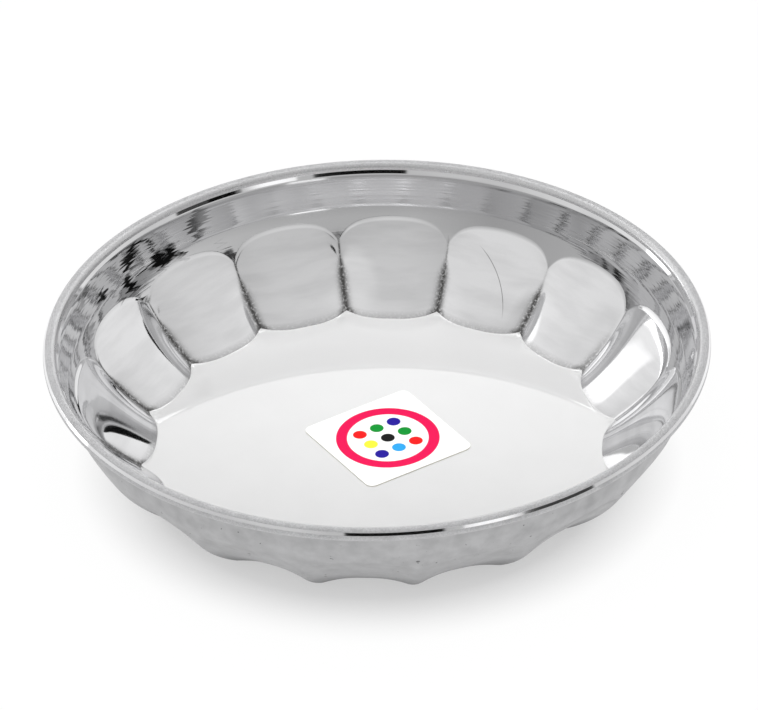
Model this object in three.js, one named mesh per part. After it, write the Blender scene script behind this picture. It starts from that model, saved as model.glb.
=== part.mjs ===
// A pudding plate: a shallow round dish pressed from one stainless steel sheet, with flutes round its
// wall, a plain band above them and a curled rim. A square label is stuck inside on the base.
// Millimetres, +Z up. The origin is the centre of the flat underside, and one flute faces +Y.
import * as THREE from 'three';

// The sheet and the dish
const SHEET = 0.6; // thickness of the steel
const RIM_RADIUS = 80; // from the axis to the outside of the rim
const HEIGHT = 31.9; // from the table to the top of the rim
const BASE_RADIUS = 57.8; // inside, from the axis to the foot of a groove between two flutes
const WALL_BULGE = 3.95; // how far the wall swells out past a straight line from foot to rim
const BASE_BEND = 0.8; // height over which the wall turns out of the base

// The flutes: shallow panels pressed inwards, each with an arched top
const FLUTES = 16;
const FLUTE_FOOT_DEPTH = 3.9; // how far a flute's middle stands in from the grooves, at the base
const BAND_HEIGHT = 13; // from the top of the rim down to the middle of a flute's arch
const ARCH_RISE = 2; // how much higher an arch is in its middle than at the grooves

// The rim: the sheet's edge rolled outwards into a hollow curl
const CURL_BORE = 1; // inside radius of the curl
const CURL_GAP = 0.4; // between the rolled edge and the outside of the wall

// The label
const LABEL_SIDE = 30;
const LABEL_CORNER = 2; // corner radius
const LABEL_STOCK = 0.15; // thickness of the printed stock
const LABEL_ADHESIVE = 0.1; // thickness of the adhesive film
const LABEL_X = 2; // the label sits a little off the middle
const LABEL_Y = 2.2;
const LABEL_TURN = 36.5; // degrees

// How finely the sheet is divided
const STEPS_PER_FLUTE = 6;
const BEND_STEPS = 2;
const FLUTE_STEPS = 6;
const BAND_STEPS = 3;
const CURL_STEPS = 3; // in each quarter turn

// Sizes that follow from those above
const halfFlute = Math.PI / FLUTES;
const curlRadius = CURL_BORE + SHEET;
const curlCentre = { r: RIM_RADIUS - curlRadius, z: HEIGHT - curlRadius };
const rimInside = curlCentre.r - curlRadius;
const archTop = HEIGHT - BAND_HEIGHT;

// The wall without flutes is one arc from the base to the inside of the rim. The function returns the
// radius of that arc at a height.
function makeWallArc() {
  const foot = { r: BASE_RADIUS, z: SHEET };
  const top = { r: rimInside, z: curlCentre.z };
  const chord = Math.hypot(top.r - foot.r, top.z - foot.z);
  const out = { r: (top.z - foot.z) / chord, z: (foot.r - top.r) / chord };
  const arcRadius = chord ** 2 / (8 * WALL_BULGE) + WALL_BULGE / 2;
  const inset = arcRadius - WALL_BULGE;
  const centre = {
    r: (foot.r + top.r) / 2 - inset * out.r,
    z: (foot.z + top.z) / 2 - inset * out.z,
  };
  return (z) => centre.r + Math.sqrt(Math.max(0, arcRadius ** 2 - (z - centre.z) ** 2));
}

const wallRadius = makeWallArc();

// The middle of a flute is a straight line from its foot to the top of its arch on the wall.
function fluteMiddle(z) {
  const foot = BASE_RADIUS - FLUTE_FOOT_DEPTH;
  return foot + ((wallRadius(archTop) - foot) * (z - SHEET)) / (archTop - SHEET);
}

// The share of a half flute squared: 0 in a flute's middle, 1 in a groove.
const acrossFlute = (turn) => (turn / halfFlute) ** 2;

const archHeight = (turn) => archTop - ARCH_RISE * acrossFlute(turn);

// The radius of the dish's inside at a height, at an angle measured from a flute's middle.
function insideRadius(turn, z) {
  const lifted = z + ARCH_RISE * acrossFlute(turn);
  const depth = Math.max(0, wallRadius(lifted) - fluteMiddle(lifted));
  return wallRadius(z) - depth * (1 - acrossFlute(turn));
}

// The curl's angles, from its inside over its top and its outside to the rolled edge. The quarter points
// are among them, so that the rim reaches its full radius and height.
function curlAngles() {
  const rolledEdge = -Math.acos((SHEET + CURL_GAP) / curlRadius - 1);
  const stops = [Math.PI, Math.PI / 2, 0, rolledEdge];
  const angles = [stops[0]];
  for (let stop = 1; stop < stops.length; stop++) {
    for (let i = 1; i <= CURL_STEPS; i++) {
      angles.push(THREE.MathUtils.lerp(stops[stop - 1], stops[stop], i / CURL_STEPS));
    }
  }
  return angles;
}

// The upper face of the sheet, from the base over the wall and the rim to the rolled edge, as points
// (radius, height) at one angle. The first two points lie on the flat of the base.
function sectionPoints(turn) {
  const footRadius = insideRadius(turn, SHEET);
  const bendTop = SHEET + BASE_BEND;
  const bendTopRadius = insideRadius(turn, bendTop);
  const bendReach = Math.hypot(bendTopRadius - footRadius, BASE_BEND);
  const flatEdge = footRadius - bendReach;
  const points = [new THREE.Vector2(flatEdge / 2, SHEET)];

  const bend = new THREE.QuadraticBezierCurve(
    new THREE.Vector2(flatEdge, SHEET),
    new THREE.Vector2(footRadius, SHEET),
    new THREE.Vector2(bendTopRadius, bendTop),
  );
  points.push(...bend.getPoints(BEND_STEPS));

  const arch = archHeight(turn);
  for (let i = 1; i <= FLUTE_STEPS; i++) {
    const z = bendTop + ((arch - bendTop) * i) / FLUTE_STEPS;
    points.push(new THREE.Vector2(insideRadius(turn, z), z));
  }
  for (let i = 1; i < BAND_STEPS; i++) {
    const z = arch + ((curlCentre.z - arch) * i) / BAND_STEPS;
    points.push(new THREE.Vector2(wallRadius(z), z));
  }

  for (const angle of curlAngles()) {
    points.push(new THREE.Vector2(
      curlCentre.r + curlRadius * Math.cos(angle),
      curlCentre.z + curlRadius * Math.sin(angle),
    ));
  }
  return points;
}

// The sheet is a grid of rows (along a section) and columns (round the axis). Its lower face is the upper
// face moved by the sheet's thickness along the surface's own normal.
function sheetGeometry() {
  const flatRows = 2;
  const columns = FLUTES * STEPS_PER_FLUTE;
  const upper = [];
  for (let c = 0; c < columns; c++) {
    const turn = (((c % STEPS_PER_FLUTE) / STEPS_PER_FLUTE) * 2 - 1) * halfFlute;
    const angle = Math.PI / 2 - halfFlute + (c / STEPS_PER_FLUTE) * 2 * halfFlute;
    upper.push(sectionPoints(turn).map((p) => (
      new THREE.Vector3(p.x * Math.cos(angle), p.x * Math.sin(angle), p.y)
    )));
  }
  const rows = upper[0].length;
  const wrap = (c) => (c + columns) % columns;

  function normalAt(c, row) {
    if (row < flatRows) return new THREE.Vector3(0, 0, 1);
    const next = Math.min(row + 1, rows - 1);
    const along = upper[c][next].clone().sub(upper[c][row - 1]);
    const around = upper[wrap(c + 1)][row].clone().sub(upper[wrap(c - 1)][row]);
    return along.cross(around).normalize();
  }

  const lower = upper.map((column, c) => (
    column.map((point, row) => point.clone().addScaledVector(normalAt(c, row), -SHEET))
  ));

  const positions = [0, 0, SHEET, 0, 0, 0];
  for (const face of [upper, lower]) {
    for (const column of face) {
      for (const point of column) positions.push(...point);
    }
  }
  const upperPole = 0;
  const lowerPole = 1;
  const upperAt = (c, row) => 2 + wrap(c) * rows + row;
  const lowerAt = (c, row) => upperAt(c, row) + columns * rows;

  const triangles = [];
  const quad = (a, b, c, d) => triangles.push(a, b, c, a, c, d);
  for (let c = 0; c < columns; c++) {
    triangles.push(upperPole, upperAt(c, 0), upperAt(c + 1, 0));
    triangles.push(lowerPole, lowerAt(c + 1, 0), lowerAt(c, 0));
    for (let row = 0; row < rows - 1; row++) {
      quad(upperAt(c, row), upperAt(c, row + 1), upperAt(c + 1, row + 1), upperAt(c + 1, row));
      quad(lowerAt(c, row), lowerAt(c + 1, row), lowerAt(c + 1, row + 1), lowerAt(c, row + 1));
    }
    const edge = rows - 1;
    quad(upperAt(c, edge), lowerAt(c, edge), lowerAt(c + 1, edge), upperAt(c + 1, edge));
  }

  const geometry = new THREE.BufferGeometry();
  geometry.setAttribute('position', new THREE.Float32BufferAttribute(positions, 3));
  geometry.setIndex(triangles);
  geometry.computeVertexNormals();
  return geometry;
}

function plateShell() {
  const steel = new THREE.MeshStandardMaterial({ color: 0xd4d5d6, roughness: 0.16, metalness: 1 });
  const shell = new THREE.Mesh(sheetGeometry(), steel);
  shell.name = 'plate_shell';
  return shell;
}

// A square with rounded corners, centred on the origin
function labelOutline() {
  const half = LABEL_SIDE / 2;
  const inner = half - LABEL_CORNER;
  const outline = new THREE.Shape();
  outline.absarc(inner, inner, LABEL_CORNER, 0, Math.PI / 2);
  outline.absarc(-inner, inner, LABEL_CORNER, Math.PI / 2, Math.PI);
  outline.absarc(-inner, -inner, LABEL_CORNER, Math.PI, 1.5 * Math.PI);
  outline.absarc(inner, -inner, LABEL_CORNER, 1.5 * Math.PI, 2 * Math.PI);
  return outline;
}

function labelLayer(name, thickness, material) {
  const geometry = new THREE.ExtrudeGeometry(labelOutline(), {
    depth: thickness,
    bevelEnabled: false,
    curveSegments: 6,
  });
  const layer = new THREE.Mesh(geometry, material);
  layer.name = name;
  return layer;
}

// The adhesive lies on the base, and the printed stock lies on the adhesive.
function label() {
  const glue = new THREE.MeshStandardMaterial({ color: 0xe6e2d6, roughness: 0.6, metalness: 0 });
  const print = new THREE.MeshStandardMaterial({ color: 0xf4f2f0, roughness: 0.35, metalness: 0 });
  const adhesive = labelLayer('label_adhesive', LABEL_ADHESIVE, glue);
  const stock = labelLayer('label_stock', LABEL_STOCK, print);
  stock.position.z = LABEL_ADHESIVE;

  const group = new THREE.Group();
  group.add(adhesive, stock);
  group.position.set(LABEL_X, LABEL_Y, SHEET);
  group.rotation.z = THREE.MathUtils.degToRad(LABEL_TURN);
  return group;
}

const plate = new THREE.Group();
plate.add(plateShell(), label());

export default plate;
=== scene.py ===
# %% [markdown]
# # A fluted pudding plate in stainless steel
#
# The real plate is one disc of thin steel. A press gives it a flat base and sixteen flutes round the wall,
# a roller curls its edge outwards, and a polishing wheel brings the inside to a mirror. A square label is
# stuck on the base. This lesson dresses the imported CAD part: the sheet is made again with finer bends, and
# every surface gets its finish. It starts with the frame, which holds the CAD nodes and their size. Sizes
# are written in millimetres, and MM turns them into the metres that Blender counts in.

# %% Load the frame
import math

import bpy
from mathutils import Matrix, Vector


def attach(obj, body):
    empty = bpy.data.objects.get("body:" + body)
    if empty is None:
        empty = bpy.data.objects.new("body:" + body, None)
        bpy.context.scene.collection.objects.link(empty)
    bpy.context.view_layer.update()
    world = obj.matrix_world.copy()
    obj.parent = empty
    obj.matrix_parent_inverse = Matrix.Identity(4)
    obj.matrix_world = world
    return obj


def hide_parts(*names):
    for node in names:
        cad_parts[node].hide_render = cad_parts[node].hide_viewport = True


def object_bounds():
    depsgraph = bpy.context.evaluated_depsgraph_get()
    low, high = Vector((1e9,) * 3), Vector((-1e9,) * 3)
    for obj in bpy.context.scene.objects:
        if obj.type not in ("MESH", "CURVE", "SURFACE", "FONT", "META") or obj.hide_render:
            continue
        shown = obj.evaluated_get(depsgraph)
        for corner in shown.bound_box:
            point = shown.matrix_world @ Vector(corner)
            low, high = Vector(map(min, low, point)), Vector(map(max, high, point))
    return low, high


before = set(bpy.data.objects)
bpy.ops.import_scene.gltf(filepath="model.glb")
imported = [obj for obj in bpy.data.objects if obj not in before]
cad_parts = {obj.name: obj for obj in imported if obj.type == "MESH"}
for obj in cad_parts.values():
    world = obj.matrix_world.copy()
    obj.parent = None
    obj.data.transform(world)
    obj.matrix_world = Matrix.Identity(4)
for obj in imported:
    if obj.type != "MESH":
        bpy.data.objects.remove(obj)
cad_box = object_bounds()
MM = 0.001
print("CAD nodes:", sorted(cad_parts))
print("CAD box:", [[round(value / MM, 2) for value in corner] for corner in cad_box])

# %% [markdown]
# ## Two helpers
#
# Colours are written as the hex values that a paint or screen shows. Blender mixes light in linear numbers,
# so one function turns hex into linear. Every node tree here, for geometry and for finishes, is built with
# one other function: it adds a node, sets it up and links its inputs.

# %% Colours and nodes
def linear(hex_colour):
    """An sRGB hex value as the linear red, green, blue and alpha that a node takes."""
    channels = [int(hex_colour[i:i + 2], 16) / 255 for i in (1, 3, 5)]
    return [c / 12.92 if c <= 0.04045 else ((c + 0.055) / 1.055) ** 2.4 for c in channels] + [1.0]


def add_node(tree, kind, inputs=None, out=0, **settings):
    """Adds a node and returns one of its outputs. An input is a value, or an output that it links to."""
    node = tree.nodes.new(kind)
    for name, value in settings.items():
        setattr(node, name, value)
    for name, value in (inputs or {}).items():
        if isinstance(value, bpy.types.NodeSocket):
            tree.links.new(value, node.inputs[name])
        else:
            node.inputs[name].default_value = value
    return node.outputs[out] if node.outputs else None


# A Mix node has sockets of one name for numbers and for colours. These are the places of the colour ones.
MIX_A, MIX_B, MIX_RESULT = 6, 7, 2
print("White is", linear("#FFFFFF")[:3])

# %% [markdown]
# ## The camera
#
# Product pictures are taken from well back with a long lens, so that the near rim doesn't look too large.
# The place of the eye and the point that it looks at were fitted to the rim's ellipse and the feet of the
# flutes. The camera is built from its own axes, because it is turned a little about its line of sight.

# %% Place the camera
EYE = Vector((84.26, -1224.25, 862.62)) * MM
AIM = Vector((-2.20, 38.94, 0.0)) * MM
ROLL = math.radians(-1.312)
SENSOR_WIDTH = 36.0
IMAGE_WIDTH = 758
FOCAL_PIXELS = 6187.7


def make_camera():
    forward = (AIM - EYE).normalized()
    level = forward.cross(Vector((0, 0, 1))).normalized()
    upright = level.cross(forward)
    right = math.cos(ROLL) * level + math.sin(ROLL) * upright
    up = math.cos(ROLL) * upright - math.sin(ROLL) * level
    lens = bpy.data.cameras.new("camera")
    lens.sensor_width = SENSOR_WIDTH
    lens.lens = FOCAL_PIXELS * SENSOR_WIDTH / IMAGE_WIDTH
    camera = bpy.data.objects.new("camera", lens)
    turn = Matrix((right, up, -forward)).transposed()
    camera.matrix_world = Matrix.Translation(EYE) @ turn.to_4x4()
    bpy.context.scene.collection.objects.link(camera)
    bpy.context.scene.camera = camera
    return camera


camera = make_camera()
print("Lens:", round(camera.data.lens, 1), "mm")

# %% [markdown]
# ## Mirror-polished steel
#
# The inside of the wall is stainless steel of the kind used for tableware, polished on a wheel. It mirrors
# what stands round it, so its colour is nearly the light that falls on it. The panels are bright, with faint
# streaks of haze. The plain band above them is polished with a coarser mop. Its colour is greyer higher up,
# and painted shade makes it greyer right of the middle and lighter far to the left. Colours are mixed by
# shares from 0 to 1, and a Map Range node makes such a share from a place on the plate or from a noise. A
# pair of values says where a share starts and where it is full.

# %% Colour the panels and the band
STEEL_BRIGHT = "#F4F4F5"
STEEL_HAZE = "#E9E9EA"
HAZE_WIDTH = 18.0
HAZE_SQUEEZE = 6
HAZE_FROM, HAZE_FULL = 0.4, 0.65
STEEL_BAND_FOOT = "#E6E6E7"
# Each change of the band's grey, where the changes along x are painted shade: the direction it runs in, where
# it starts and is full, and its colour.
BAND_GREYS_AND_PAINTED_SHADE = (
    ("height", 19.0, 22.0, "#D6D6D7"),
    ("height", 25.0, 28.5, "#CACACB"),
    # Painted shade: darker right of the middle, lighter far to the left.
    ("x", 5.0, 25.0, "#C0C0C1"),
    ("x", 48.0, 58.0, "#D0D0D1"),
    ("x", -60.0, -70.0, "#E4E4E5"),
)


def new_material(name):
    material = bpy.data.materials.new(name)
    material.use_nodes = True
    material.node_tree.nodes.clear()
    return material, material.node_tree


def panel_colour(tree, place):
    """Bright steel with streaks of haze. The streaks lie level, because the pattern is squeezed in height."""
    squeezed = add_node(tree, "ShaderNodeMapping", {"Vector": place, "Scale": (1, 1, HAZE_SQUEEZE)})
    streaks = add_node(tree, "ShaderNodeTexNoise", {
        "Vector": squeezed, "Scale": 1 / (HAZE_WIDTH * MM), "Detail": 3.0,
    })
    hazy = add_node(tree, "ShaderNodeMapRange", {
        "Value": streaks, "From Min": HAZE_FROM, "From Max": HAZE_FULL,
    })
    return add_node(tree, "ShaderNodeMix", {
        0: hazy, MIX_A: linear(STEEL_BRIGHT), MIX_B: linear(STEEL_HAZE),
    }, out=MIX_RESULT, data_type="RGBA")


def band_colour_and_painted_shade(tree, x, height):
    """The grey of the band, which changes with the height and, as painted shade, from left to right."""
    colour = linear(STEEL_BAND_FOOT)
    directions = {"x": x, "height": height}
    for direction, start, full, hex_colour in BAND_GREYS_AND_PAINTED_SHADE:
        share = add_node(tree, "ShaderNodeMapRange", {
            "Value": directions[direction], "From Min": start * MM, "From Max": full * MM,
        })
        colour = add_node(tree, "ShaderNodeMix", {
            0: share, MIX_A: colour, MIX_B: linear(hex_colour),
        }, out=MIX_RESULT, data_type="RGBA")
    return colour


print("The band has", 1 + len(BAND_GREYS_AND_PAINTED_SHADE), "greys")

# %% [markdown]
# ## Polishing paste
#
# Dark paste from the wheel stays in the grooves. It is wiped off on the right, most of all higher up. A dark
# line runs along the foot of the wall, darkest at the cusps. Black marks on the left of the band are painted
# reflections of dark things, and the band's fine rings make their edges jagged. One panel has a fine scratch:
# it runs where the panel cuts the surface of a ball. Two attributes of the mesh steer these marks and the
# band:
# "paste" is 1 in the bottom of a groove and marks the foot's dark line too, and "band" is 1 above the arches.

# %% Leave paste on the steel
# Nearly all values of a noise texture lie between these two.
NOISE_LOW, NOISE_HIGH = 0.3, 0.7
PASTE_GREY = "#565554"
PASTE_GRAIN = 0.6
GRAIN_FROM, GRAIN_FULL = 0.15, 0.5
WIPED_HEIGHT = (8.0, 11.0)
WIPED_SIDE = (5.0, 25.0)
WIPED_REST = 0.2
CLEAN_FROM, CLEAN_FULL = 46.0, 56.0
CLEAN_REST = 0.15
SCRATCH_CENTRE = Vector((4.0, 59.0, -2.0))
SCRATCH_RADIUS = 25.6
SCRATCH_HALF_WIDTH = 0.1
SCRATCH_STRENGTH = 0.6
SCRATCH_SIDE = (21.0, 24.0)
SCRATCH_FOOT = (3.0, 6.0)
SCRATCH_TOP = (15.0, 14.0)
# Black marks on the left of the band: painted reflections of dark things.
PAINTED_REFLECTION_BLACK = "#1A1A1A"
PAINTED_REFLECTION_SIZE = 6.0
PAINTED_REFLECTION_FROM, PAINTED_REFLECTION_FULL = 0.54, 0.62
PAINTED_REFLECTION_JAG = 1.5
PAINTED_REFLECTION_START = math.radians(-74)
PAINTED_REFLECTION_END = math.radians(-38)
PAINTED_REFLECTION_FADE = math.radians(5)
BAND_RADIUS = 74.0


def groove_paste(tree, place, x, height):
    """How much paste lies at a place in the grooves: grains of it, less where it is wiped off."""
    in_groove = add_node(tree, "ShaderNodeAttribute", out="Fac", attribute_name="paste")
    grain = add_node(tree, "ShaderNodeTexNoise", {
        "Vector": place, "Scale": 1 / (PASTE_GRAIN * MM), "Detail": 2.0,
    })
    speckle = add_node(tree, "ShaderNodeMapRange", {
        "Value": grain, "From Min": GRAIN_FROM, "From Max": GRAIN_FULL,
    })
    wiped = 1.0
    for value, (start, full) in ((height, WIPED_HEIGHT), (x, WIPED_SIDE)):
        share = add_node(tree, "ShaderNodeMapRange", {
            "Value": value, "From Min": start * MM, "From Max": full * MM,
        })
        wiped = add_node(tree, "ShaderNodeMath", {0: share, 1: wiped}, operation="MULTIPLY")
    left_over = add_node(tree, "ShaderNodeMapRange", {"Value": wiped, "To Min": 1.0, "To Max": WIPED_REST})
    unclean = add_node(tree, "ShaderNodeMapRange", {
        "Value": x, "From Min": CLEAN_FROM * MM, "From Max": CLEAN_FULL * MM,
        "To Min": 1.0, "To Max": CLEAN_REST,
    })
    paste = in_groove
    for share in (speckle, left_over, unclean):
        paste = add_node(tree, "ShaderNodeMath", {0: paste, 1: share}, operation="MULTIPLY")
    return paste


def panel_scratch(tree, place, x, height):
    """The scratch: a thin shell of a ball, which ends at one side, below and above."""
    from_centre = add_node(tree, "ShaderNodeVectorMath", {
        0: place, 1: SCRATCH_CENTRE * MM,
    }, out="Value", operation="DISTANCE")
    scratch = add_node(tree, "ShaderNodeMath", {
        0: from_centre, 1: SCRATCH_RADIUS * MM, 2: SCRATCH_HALF_WIDTH * MM,
    }, operation="COMPARE")
    for value, (start, full) in ((x, SCRATCH_SIDE), (height, SCRATCH_FOOT), (height, SCRATCH_TOP)):
        reaches = add_node(tree, "ShaderNodeMapRange", {
            "Value": value, "From Min": start * MM, "From Max": full * MM,
        })
        scratch = add_node(tree, "ShaderNodeMath", {0: scratch, 1: reaches}, operation="MULTIPLY")
    return add_node(tree, "ShaderNodeMath", {0: scratch, 1: SCRATCH_STRENGTH}, operation="MULTIPLY")


def band_painted_reflections(tree, angle, height, rings):
    """Painted reflections of dark things: blots between two angles round the axis. The rings shift them
    sideways, so their edges are jagged.
    """
    around = add_node(tree, "ShaderNodeMath", {0: angle, 1: BAND_RADIUS * MM}, operation="MULTIPLY")
    jag = add_node(tree, "ShaderNodeMapRange", {
        "Value": rings, "From Min": NOISE_LOW, "From Max": NOISE_HIGH,
        "To Min": -PAINTED_REFLECTION_JAG * MM, "To Max": PAINTED_REFLECTION_JAG * MM,
    })
    across = add_node(tree, "ShaderNodeMath", {0: around, 1: jag}, operation="ADD")
    spot = add_node(tree, "ShaderNodeCombineXYZ", {"X": across, "Y": height})
    blots = add_node(tree, "ShaderNodeTexNoise", {
        "Vector": spot, "Scale": 1 / (PAINTED_REFLECTION_SIZE * MM), "Detail": 2.0,
    })
    reflected_dark = add_node(tree, "ShaderNodeMapRange", {
        "Value": blots, "From Min": PAINTED_REFLECTION_FROM, "From Max": PAINTED_REFLECTION_FULL,
    })
    for end, inwards in ((PAINTED_REFLECTION_START, PAINTED_REFLECTION_FADE), (PAINTED_REFLECTION_END, -PAINTED_REFLECTION_FADE)):
        share = add_node(tree, "ShaderNodeMapRange", {
            "Value": angle, "From Min": end - inwards, "From Max": end + inwards,
        })
        reflected_dark = add_node(tree, "ShaderNodeMath", {0: reflected_dark, 1: share}, operation="MULTIPLY")
    return reflected_dark


# The black marks on the band are painted reflections.
print("Smears lie on", round(math.degrees(PAINTED_REFLECTION_END - PAINTED_REFLECTION_START)), "degrees of the band")

# %% [markdown]
# ## The finish of the wall
#
# Now the clean steel and the marks on it make one finish. Fine rings run round the band. On the real plate
# they are finer than a pixel, so they are drawn coarser, 0.7 mm apart. At the back the band is a little
# rougher and blurs what it mirrors. Paste is dull wherever it lies.

# %% Make the polished finish
MIRROR_ROUGHNESS = 0.05
BAND_ROUGHNESS = 0.12
PASTE_ROUGHNESS = 0.45
BLUR_FROM, BLUR_FULL = 38.0, 26.0
RING_SPACING = 0.7
RING_DEPTH = 0.01
RINGS_ON_PANELS = 0.02
BAND_END = 29.3
BAND_FADE = 0.2


def mirror_polished_steel():
    material, tree = new_material("mirror_polished_stainless_steel")
    place = add_node(tree, "ShaderNodeTexCoord", out="Object")
    x, y, height = add_node(tree, "ShaderNodeSeparateXYZ", {"Vector": place}).node.outputs
    angle = add_node(tree, "ShaderNodeMath", {0: x, 1: y}, operation="ARCTAN2")
    above_arch = add_node(tree, "ShaderNodeAttribute", out="Fac", attribute_name="band")
    below_end = add_node(tree, "ShaderNodeMapRange", {
        "Value": height, "From Min": BAND_END * MM, "From Max": (BAND_END - BAND_FADE) * MM,
    })
    on_band = add_node(tree, "ShaderNodeMath", {0: above_arch, 1: below_end}, operation="MULTIPLY")
    rings = add_node(tree, "ShaderNodeTexNoise", {
        "W": height, "Scale": 1 / (RING_SPACING * MM), "Detail": 2.0,
    }, noise_dimensions="1D")
    ring_strength = add_node(tree, "ShaderNodeMapRange", {
        "Value": on_band, "To Min": RINGS_ON_PANELS, "To Max": 1.0,
    })
    relief = add_node(tree, "ShaderNodeBump", {
        "Height": rings, "Strength": ring_strength, "Distance": RING_DEPTH * MM,
    })

    paste = groove_paste(tree, place, x, height)
    scratch = panel_scratch(tree, place, x, height)
    dull = add_node(tree, "ShaderNodeMath", {0: paste, 1: scratch}, operation="MAXIMUM")
    dark_reflections = band_painted_reflections(tree, angle, height, rings)
    band_dark_reflections = add_node(tree, "ShaderNodeMath", {0: dark_reflections, 1: on_band}, operation="MULTIPLY")
    colour = panel_colour(tree, place)
    for share, cover in ((on_band, band_colour_and_painted_shade(tree, x, height)), (dull, linear(PASTE_GREY)),
                         (band_dark_reflections, linear(PAINTED_REFLECTION_BLACK))):
        colour = add_node(tree, "ShaderNodeMix", {
            0: share, MIX_A: colour, MIX_B: cover,
        }, out=MIX_RESULT, data_type="RGBA")

    from_middle = add_node(tree, "ShaderNodeMath", {0: x}, operation="ABSOLUTE")
    at_back = add_node(tree, "ShaderNodeMapRange", {
        "Value": from_middle, "From Min": BLUR_FROM * MM, "From Max": BLUR_FULL * MM,
    })
    blurred = add_node(tree, "ShaderNodeMath", {0: on_band, 1: at_back}, operation="MULTIPLY")
    bare_rough = add_node(tree, "ShaderNodeMapRange", {
        "Value": blurred, "To Min": MIRROR_ROUGHNESS, "To Max": BAND_ROUGHNESS,
    })
    rough = add_node(tree, "ShaderNodeMapRange", {
        "Value": dull, "To Min": bare_rough, "To Max": PASTE_ROUGHNESS,
    })
    steel = add_node(tree, "ShaderNodeBsdfPrincipled", {
        "Base Color": colour, "Metallic": 1.0, "Roughness": rough, "Normal": relief,
    })
    add_node(tree, "ShaderNodeOutputMaterial", {"Surface": steel})
    return material


polished = mirror_polished_steel()
print("Made", polished.name)

# %% [markdown]
# ## Satin steel
#
# The rim and the outside are left as the buffing mop leaves them: bright, but with a fine grain that blurs
# what they mirror into soft greys. On the outside the grain runs round the plate, so it depends on the height
# and on the distance from the axis. Light scuffs cloud it, a few dark specks sit on it, and painted shade
# darkens it towards the foot. The rim has fine pits instead, and the inner side of its crown is a little
# smoother.

# %% Make the satin finish
STEEL_RIM = "#DDDDDE"
STEEL_RIM_PIT = "#CFCFD0"
STEEL_OUTSIDE = "#C8C8C9"
STEEL_OUTSIDE_DULL = "#C1C1C2"
# Painted shade: the outside darkens towards the foot.
STEEL_OUTSIDE_FOOT_SHADE = "#A4A4A5"
SPECK_GREY = "#7C7C7C"
RIM_FROM, RIM_FULL = 27.5, 29.0
CROWN_IN, CROWN_OUT = 77.4, 78.1
CROWN_ROUGHNESS = 0.3
CROWN_RELIEF = 0.6
RIM_ROUGHNESS = 0.8
OUTSIDE_ROUGHNESS = 0.68
ROUGHNESS_SPREAD = 0.06
BUFF_SPACING = 0.3
PIT_SIZE = 0.4
PIT_DEPTH = 0.012
PIT_FROM, PIT_FULL = 0.35, 0.65
CLOUD_SIZE = 4.0
CLOUD_FROM, CLOUD_FULL = 0.35, 0.65
SPECK_SIZE = 1.6
SPECK_FROM, SPECK_FULL = 0.71, 0.76
FOOT_SHADE_FROM, FOOT_SHADE_FULL = 9.0, 2.0


def outside_colour(tree, place, z, cloud):
    """Steel with light scuffs, painted shade darker towards the foot, and a few dark specks."""
    scuffed = add_node(tree, "ShaderNodeMapRange", {
        "Value": cloud, "From Min": CLOUD_FROM, "From Max": CLOUD_FULL,
    })
    foot_shade = add_node(tree, "ShaderNodeMapRange", {
        "Value": z, "From Min": FOOT_SHADE_FROM * MM, "From Max": FOOT_SHADE_FULL * MM,
    })
    dirt = add_node(tree, "ShaderNodeTexNoise", {
        "Vector": place, "Scale": 1 / (SPECK_SIZE * MM), "Detail": 2.0,
    })
    specks = add_node(tree, "ShaderNodeMapRange", {
        "Value": dirt, "From Min": SPECK_FROM, "From Max": SPECK_FULL,
    })
    colour = linear(STEEL_OUTSIDE)
    for share, hex_colour in ((scuffed, STEEL_OUTSIDE_DULL), (foot_shade, STEEL_OUTSIDE_FOOT_SHADE),
                              (specks, SPECK_GREY)):
        colour = add_node(tree, "ShaderNodeMix", {
            0: share, MIX_A: colour, MIX_B: linear(hex_colour),
        }, out=MIX_RESULT, data_type="RGBA")
    return colour


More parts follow.
